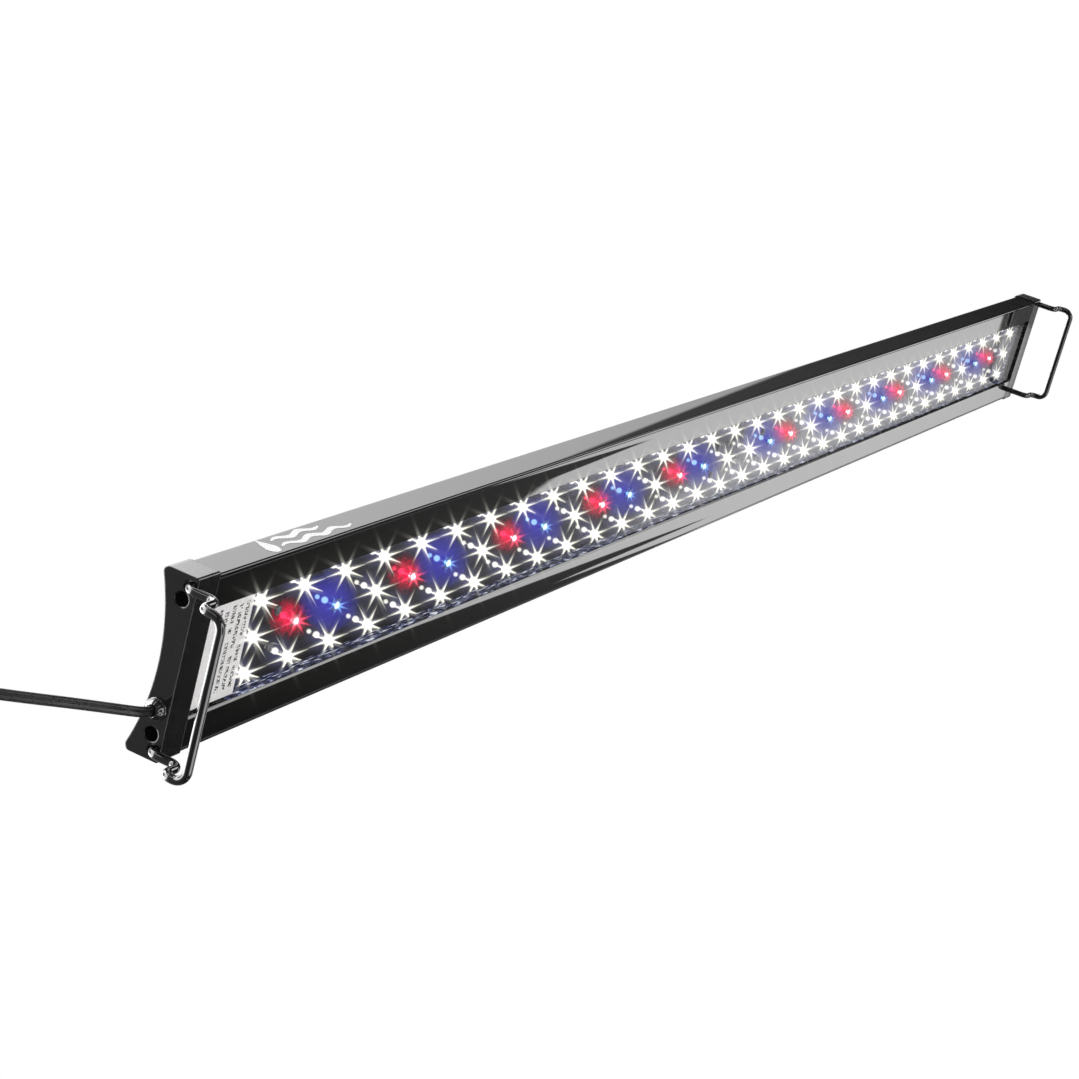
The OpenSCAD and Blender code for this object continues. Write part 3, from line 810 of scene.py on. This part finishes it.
LAMP_GLOW = {
    "white_lamps": lamp_glow("white", LAMP_COLOUR["white"], 9.0, 110.0),
    "red_lamps": lamp_glow("red", (1.0, 0.3, 0.38), 6.0, 26.0),
    "blue_lamps": lamp_glow("blue", (0.45, 0.8, 1.0), 4.0, 9.0),
}


def loose_part_centres(node):
    """Centre of each separate solid in a CAD node, in order along the light."""
    work = bmesh.new()
    work.from_mesh(NODES[node].data)
    bmesh.ops.remove_doubles(work, verts=work.verts, dist=1e-6)
    waiting = set(work.verts)
    centres = []
    while waiting:
        stack = [waiting.pop()]
        low, high = stack[0].co.copy(), stack[0].co.copy()
        while stack:
            vertex = stack.pop()
            low = Vector(map(min, low, vertex.co))
            high = Vector(map(max, high, vertex.co))
            for edge in vertex.link_edges:
                other = edge.other_vert(vertex)
                if other in waiting:
                    waiting.remove(other)
                    stack.append(other)
        centres.append((low + high) / 2)
    work.free()
    return sorted(centres, key=lambda c: (round(c.x, 4), round(c.y, 4)))


def rounded_square(half, corner, steps=8):
    """Points round a square with round corners."""
    points = []
    for quarter in range(4):
        middle = math.radians(90 * quarter + 45)
        for step in range(steps):
            angle = math.radians(90 * quarter + 90 * (step + 0.5) / steps)
            x = math.copysign(half - corner, math.cos(middle)) + corner * math.cos(angle)
            y = math.copysign(half - corner, math.sin(middle)) + corner * math.sin(angle)
            points.append((x, y))
    return points


def lamp_package(work, centre, low_z, high_z):
    """A lamp: chamfered body, conical well and a flat lit fill, facing down."""
    half, corner, chamfer = LAMP_SIDE / 2, 0.35 * MM, 0.3 * MM
    well_r, fill_r, depth = 2.1 * MM, 1.75 * MM, 0.35 * MM
    sides = 32
    turn = math.pi / sides
    levels = [
        (rounded_square(half, corner), high_z),
        (rounded_square(half, corner), low_z + chamfer),
        (rounded_square(half - chamfer, corner), low_z),
        (circle_points(well_r, sides, turn), low_z),
        (circle_points(fill_r, sides, turn), low_z + depth),
    ]
    rings = [[(centre.x + x, centre.y + y, z) for x, y in ring] for ring, z in levels]
    made = skin(work, rings, cap_end=False)
    fill = work.faces.new(made[-1])
    fill.material_index = 1


def build_lamps(node, slot):
    """Replaces a node's plain packages with finer ones in the same places."""
    low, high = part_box(node)
    centres = loose_part_centres(node)

    def fill(work):
        for centre in centres:
            lamp_package(work, centre, low.z, high.z)

    materials = [MATERIALS[slot], LAMP_GLOW[node]]
    piece = new_piece(node + "_packages", fill, "housing", materials, smooth=False)
    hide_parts(node)


# ---------------------------------------------------------------- badge on the front


def flat_shape(work, outline, y_from, y_to):
    """A plate in the plane of the front face, from an outline of (x, z) points."""
    front = [work.verts.new((x, y_to, z)) for x, z in outline]
    back = [work.verts.new((x, y_from, z)) for x, z in outline]
    work.faces.new(front)
    work.faces.new(back[::-1])
    for i in range(len(outline)):
        j = (i + 1) % len(outline)
        work.faces.new((front[i], front[j], back[j], back[i]))


def build_badge():
    """Generic mark: a water drop beside two waves."""
    sunk_y, face_y = FRONT_Y + 0.02 * MM, FRONT_Y - 0.15 * MM
    left, base, tall = CAP_HIGH.x + 44 * MM, 2.2 * MM, 13.0 * MM
    drop_r = tall * 0.31
    wave_left, wave_l, wave_h, stroke = left + 11 * MM, 57 * MM, 1.15 * MM, 3.1 * MM
    first_z, wave_gap, wavelength = base + 3.2 * MM, 5.8 * MM, 19 * MM

    def fill(work):
        middle_x, middle_z = left + drop_r, base + drop_r
        tip_z = base + tall
        start = math.acos(drop_r / (tip_z - middle_z))
        turns = 28
        sweep = 2 * math.pi - 2 * start
        drop = [(middle_x, tip_z)]
        for i in range(turns + 1):
            angle = math.pi / 2 + start + sweep * i / turns
            drop.append((middle_x + drop_r * math.cos(angle), middle_z + drop_r * math.sin(angle)))
        flat_shape(work, drop, sunk_y, face_y)
        steps = 48
        for row in range(2):
            z = first_z + row * wave_gap
            length = wave_l - row * wavelength
            lower, upper = [], []
            for i in range(steps + 1):
                x = wave_left + length * i / steps
                swell = wave_h * math.sin(2 * math.pi * (x - wave_left) / wavelength)
                taper = stroke / 2 * math.sqrt(math.sin(math.pi * (0.03 + 0.94 * i / steps)))
                lower.append((x, z + swell - taper))
                upper.append((x, z + swell + taper))
            flat_shape(work, lower + upper[::-1], sunk_y, face_y)

    new_piece("front_badge", fill, "housing", [BADGE_INK], smooth=False)


# ---------------------------------------------------------------- power cord and grommet

# These repeat sizes of the CAD's cord and plug, which lie at an angle to the frame's boxes.
PLUG_TURN = math.radians(108)    # direction of the plug, seen from above
PLUG_L = 46 * MM                 # length of the plug's box along itself
CORD_OUT = 7.2 * MM              # from the cap's face to the bend
CORD_TURN_R = 30 * MM            # radius of the cord's turn towards the plug

PLUG_FORWARD = Vector((math.cos(PLUG_TURN), math.sin(PLUG_TURN), 0))
CORD_ALONG = Vector((-math.sin(PLUG_TURN), math.cos(PLUG_TURN), 0))


def bezier(a, b, c, d, t):
    s = 1 - t
    return a * s ** 3 + b * 3 * s * s * t + c * 3 * s * t * t + d * t ** 3


def plug_place():
    """Where the cord enters the moulding's neck: the end of the plug box that faces the cord."""
    return (PLUG_LOW + PLUG_HIGH) / 2 - PLUG_FORWARD * (PLUG_L / 2)


def cord_path():
    """Middle line of the cord: out of the grommet, aside in a soft bend, along and to the plug."""
    plug = plug_place()
    kink = Vector((CAP_LOW.x - CORD_OUT, GROMMET_Y, CORD_Z))
    corner = kink + CORD_ALONG * (plug - kink).dot(CORD_ALONG)
    run_end = corner - CORD_ALONG * CORD_TURN_R

    # soft bend outside the grommet
    bend_from = Vector((CAP_LOW.x - 1 * MM, GROMMET_Y, CORD_Z))
    bend_to = kink + CORD_ALONG * 16 * MM
    leave, arrive = bend_from - Vector((7 * MM, 0, 0)), bend_to - CORD_ALONG * 9 * MM
    points = [Vector((CORD_INNER_X, GROMMET_Y, CORD_Z)), bend_from]
    bend_steps = 14
    for i in range(1, bend_steps + 1):
        points.append(bezier(bend_from, leave, arrive, bend_to, i / bend_steps))

    # nearly straight run
    run_steps = 24
    for i in range(1, run_steps + 1):
        t = i / run_steps
        sag = 0.35 * MM * math.sin(math.pi * t) * math.sin(5 * t)
        points.append(bend_to.lerp(run_end, t) + Vector((0, 0, sag)))

    # turn towards the plug, and a tail into its neck
    turn_steps = 20
    centre = run_end + PLUG_FORWARD * CORD_TURN_R
    for i in range(1, turn_steps + 1):
        angle = math.pi / 2 * i / turn_steps
        aside = CORD_ALONG * math.sin(angle) - PLUG_FORWARD * math.cos(angle)
        points.append(centre + aside * CORD_TURN_R)
    tail_from, tail_to = points[-1], plug + PLUG_FORWARD * 1 * MM
    tail_steps = 8
    for i in range(1, tail_steps + 1):
        points.append(tail_from.lerp(tail_to, i / tail_steps))
    return points


def twin_flex_ring():
    """Cross-section of twin flex: two round cores joined by a web with a groove on each side."""
    core_r, spread = 1.12 * MM, 1.15 * MM
    ring = []
    arc = 12
    opening = math.radians(38)
    for side in (1, -1):
        for i in range(arc + 1):
            angle = -(math.pi - opening) + 2 * (math.pi - opening) * i / arc
            x = side * (spread + core_r * math.cos(angle))
            ring.append((x, side * core_r * math.sin(angle)))
    return ring


def build_cord():
    """Replaces the CAD's plain flex with a smoothly bent one."""
    path = cord_path()
    ring = twin_flex_ring()
    up = Vector((0, 0, 1))

    def fill(work):
        rings = []
        for i, point in enumerate(path):
            before, after = path[max(0, i - 1)], path[min(len(path) - 1, i + 1)]
            forward = (after - before).normalized()
            side = up.cross(forward).normalized()
            lift = forward.cross(side)
            rings.append([point + side * a + lift * b for a, b in ring])
        skin(work, rings)

    piece = new_piece("twin_flex_cord", fill, "housing", [MATERIALS["cord_rubber"]])
    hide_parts("power_cord")


def build_grommet():
    """Strain relief: a fluted dome with a rim outside, and the part in the wall behind it."""
    face = CAP_LOW.x
    tip = GROMMET_LOW.x
    rise = face - tip
    profile = [
        (face + 4.6 * MM, 1.5 * MM), (face + 4.6 * MM, 3.4 * MM), (face + 3.4 * MM, 3.8 * MM),
        (face, 3.85 * MM), (face, 5.0 * MM), (face - 0.7 * MM, 5.05 * MM),
        (face - 1.1 * MM, 4.75 * MM), (face - 1.2 * MM, 4.3 * MM), (face - 1.9 * MM, 4.25 * MM),
        (face - 0.72 * rise, 3.7 * MM), (face - 0.9 * rise, 3.0 * MM), (tip, 2.4 * MM),
        (tip + 0.25 * MM, 2.05 * MM), (tip + 1.4 * MM, 1.7 * MM),
    ]
    sides, flutes, flute_depth = 96, 8, 0.16 * MM
    cord_squash = 1.25           # the hole for the twin flex is wider than it is high

    def fill(work):
        rings = []
        for x, radius in profile:
            ring = []
            for i in range(sides):
                angle = 2 * math.pi * i / sides
                outer = face - 0.95 * rise < x < face - 1.15 * MM
                dent = flute_depth * max(0.0, math.cos(flutes * angle)) ** 2 if outer else 0.0
                wide = cord_squash if radius < 2.2 * MM or x < tip + 0.1 * MM else 1.0
                y = GROMMET_Y + (radius - dent) * wide * math.cos(angle)
                ring.append((x, y, CORD_Z + (radius - dent) * math.sin(angle)))
            rings.append(ring)
        skin(work, rings)

    piece = new_piece("strain_relief", fill, "housing", [GROMMET_NYLON])
    bevel = piece.modifiers.new("edge_round", "BEVEL")
    bevel.width = 0.15 * MM
    bevel.segments = 2
    bevel.angle_limit = math.radians(40)
    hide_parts("cord_grommet")


build_lamps("white_lamps", "white_lamp")
build_lamps("red_lamps", "red_lamp")
build_lamps("blue_lamps", "blue_lamp")
build_badge()
build_cord()
build_grommet()

# ---------------------------------------------------------------- stage, light and camera


def build_floor():
    """Wide pale floor at the height of the legs' crossbars, out of sight of mirrors."""
    mesh = bpy.data.meshes.new("studio_floor")
    reach = 30.0
    corners = [(-reach, -reach), (reach, -reach), (reach, reach), (-reach, reach)]
    mesh.from_pydata([(x, y, FLOOR_Z) for x, y in corners], [], [(0, 1, 2, 3)])
    floor = bpy.data.objects.new("studio_floor", mesh)
    SCENE.collection.objects.link(floor)
    mesh.materials.append(floor_paint())
    floor.visible_glossy = False
    floor.visible_transmission = False


# Edge of the pale card that the underside mirrors: across is the sideways slope of a mirrored
# ray, and the card begins where its lengthways slope passes the second number.
CARD_ACROSS = (0.735, 0.92)
CARD_ALONG = (1.8, 3.4)
CARD_EDGE = (
    (0.740, 2.10), (0.750, 2.30), (0.7565, 2.64), (0.763, 2.40), (0.7765, 2.34), (0.778, 3.10),
    (0.8725, 2.58), (0.874, 2.10), (0.8925, 2.90), (0.8935, 2.46), (0.910, 3.20),
)


def build_world():
    """White backdrop, with the cards that polished surfaces mirror worked out by direction."""
    world = bpy.data.worlds.new("studio")
    SCENE.world = world
    world.use_nodes = True
    world.cycles.sampling_method = "NONE"
    w = Tree(world.node_tree)
    path = w.add("ShaderNodeLightPath")
    x, y, z = w.split(w.add("ShaderNodeTexCoord").outputs["Generated"])

    # overall studio: a soft box overhead, a grey horizon and a dark floor
    overhead = w.remap(z, 0.0, 1.15, 0.35, 0.92, smooth=True)
    horizon = w.remap(z, 0.16, 0.5, -0.5, 0.35, smooth=True)
    room = w.times(w.plus(overhead, horizon), 0.55)

    def strip(slope, low, high, light):
        """A long soft box: a band of directions between two values of a slope."""
        soft = 0.03
        begun = w.step(slope, low - soft, low + soft)
        ended = w.step(slope, high - soft, high + soft)
        return w.times(w.minus(begun, ended), light)

    room = w.plus(room, strip(z, 0.7, 0.95, 7.0))
    room = w.plus(room, w.times(strip(y, -0.78, -0.7, 3.5), w.step(z, -0.3, 0.0)))
    room = w.plus(room, strip(z, -0.62, -0.56, 0.8))
    room = w.plus(room, strip(z, -0.94, -0.82, 4.0))

    # beyond the far end it is dark, apart from three cards
    facing = w.step(x, 0.62, 0.78)
    dim = w.minus(w.remap(x, 0.16, 0.03, 0.9, 0.955), w.remap(x, 0.12, 0.0, 0.82, 0.89))

    # card over the front: a straight edge, brighter towards the near end
    tilt = w.plus(w.plus(w.times(x, -0.0242), w.times(y, 0.7731)), w.times(z, 0.6338))
    front_edge = w.step(tilt, -0.0006, 0.0006)
    front_side = w.times(w.step(w.times(y, -1.0), 0.0, 0.05), w.step(z, 0.0, 0.05))
    front_light = w.ramp(
        w.remap(x, 0.0, 1.0, 0.75, 0.95),
        (0.0, 1.0), (0.24, 0.75), (0.34, 0.56), (0.6, 0.38), (1.0, 0.12),
    )
    front_card = w.times(w.times(front_edge, front_side), w.times(front_light, 4.4))

    # card under the rear: its edge is the curve above
    depth = w.math("MAXIMUM", w.times(z, -1.0), 0.001)
    along, across = w.over(x, depth), w.over(y, depth)
    across_low, across_high = CARD_ACROSS
    along_low, along_high = CARD_ALONG
    stops = [
        ((a - across_low) / (across_high - across_low), (b - along_low) / (along_high - along_low))
        for a, b in CARD_EDGE
    ]
    edge = w.remap(
        w.ramp(w.remap(across, 0.0, 1.0, across_low, across_high), *stops),
        along_low, along_high,
    )
    under_edge = w.step(w.minus(along, edge), -0.02, 0.02)
    under_side = w.times(w.step(y, 0.0, 0.05), w.math("LESS_THAN", z, 0.0))
    under_light = w.remap(along, 2.7, 1.45, 2.2, 4.2)
    far_edge = w.remap(across, 3.93, 4.09, 0.776, 0.782)
    beyond = w.step(w.minus(along, far_edge), -0.01, 0.01)
    under_light = w.times(under_light, w.remap(beyond, 1.0, 0.08))
    under_card = w.times(w.times(under_edge, under_side), under_light)

    # card low in front, for the rounded lips
    lip_side = w.times(w.step(w.times(y, -1.0), 0.25, 0.4), w.step(w.times(z, -1.0), 0.18, 0.3))
    lip_card = w.times(lip_side, 4.5)

    mirrored = w.plus(w.plus(front_card, w.plus(under_card, lip_card)), dim)
    glossy = w.plus(w.times(facing, mirrored), w.times(w.minus(1.0, facing), room))
    lit = 0.9
    unseen = w.plus(
        w.times(path.outputs["Is Glossy Ray"], glossy),
        w.times(w.minus(1.0, path.outputs["Is Glossy Ray"]), lit),
    )
    strength = w.plus(
        path.outputs["Is Camera Ray"],
        w.times(w.minus(1.0, path.outputs["Is Camera Ray"]), unseen),
    )
    background = w.add("ShaderNodeBackground")
    background.inputs["Color"].default_value = (1, 1, 1, 1)
    w.link(strength, background.inputs["Strength"])
    output = w.add("ShaderNodeOutputWorld")
    w.link(background.outputs[0], output.inputs["Surface"])


# The photo's camera, fitted to the light's ends, edges and lamps.
CAMERA_AT = Vector((-1.47833, -0.41513, -0.50295))
CAMERA_FORWARD = Vector((0.879754, 0.303917, 0.365605))
CAMERA_ROLL = math.radians(-67.7428)
CAMERA_LENS = 90.08


def build_camera():
    data = bpy.data.cameras.new("camera")
    data.lens = CAMERA_LENS
    data.sensor_width = 36.0
    data.clip_start = 0.05
    data.clip_end = 100.0
    camera = bpy.data.objects.new("camera", data)
    SCENE.collection.objects.link(camera)
    camera.rotation_mode = "QUATERNION"
    aim = CAMERA_FORWARD.to_track_quat("-Z", "Y").to_matrix()
    roll = Matrix.Rotation(CAMERA_ROLL, 3, "Z")
    camera.rotation_quaternion = (aim @ roll).to_quaternion()
    camera.location = CAMERA_AT
    SCENE.camera = camera


def build_glare():
    """Star rays and a soft bloom around the lit lamps, as a lens gives them."""
    SCENE.use_nodes = True
    tree = SCENE.node_tree
    tree.nodes.clear()
    layers = tree.nodes.new("CompositorNodeRLayers")
    output = tree.nodes.new("CompositorNodeComposite")

    def glare(kind, **settings):
        node = tree.nodes.new("CompositorNodeGlare")
        node.glare_type = kind
        node.quality = "HIGH"
        for key, value in settings.items():
            node.inputs[key.replace("_", " ")].default_value = value
        return node

    rays = glare(
        "STREAKS", Threshold=10.0, Smoothness=0.1, Clamp=True, Maximum=60.0, Strength=0.17,
        Saturation=0.9, Streaks=8, Streaks_Angle=STAR_TURN, Iterations=3, Fade=0.82,
        Color_Modulation=0.05,
    )
    bloom = glare(
        "BLOOM", Threshold=1.6, Smoothness=0.1, Clamp=True, Maximum=20.0, Strength=0.3, Size=0.2
    )
    tree.links.new(layers.outputs["Image"], bloom.inputs["Image"])
    tree.links.new(bloom.outputs["Image"], rays.inputs["Image"])
    tree.links.new(rays.outputs["Image"], output.inputs["Image"])


build_floor()
build_world()
build_camera()
build_glare()
SCENE.view_settings.view_transform = "Standard"
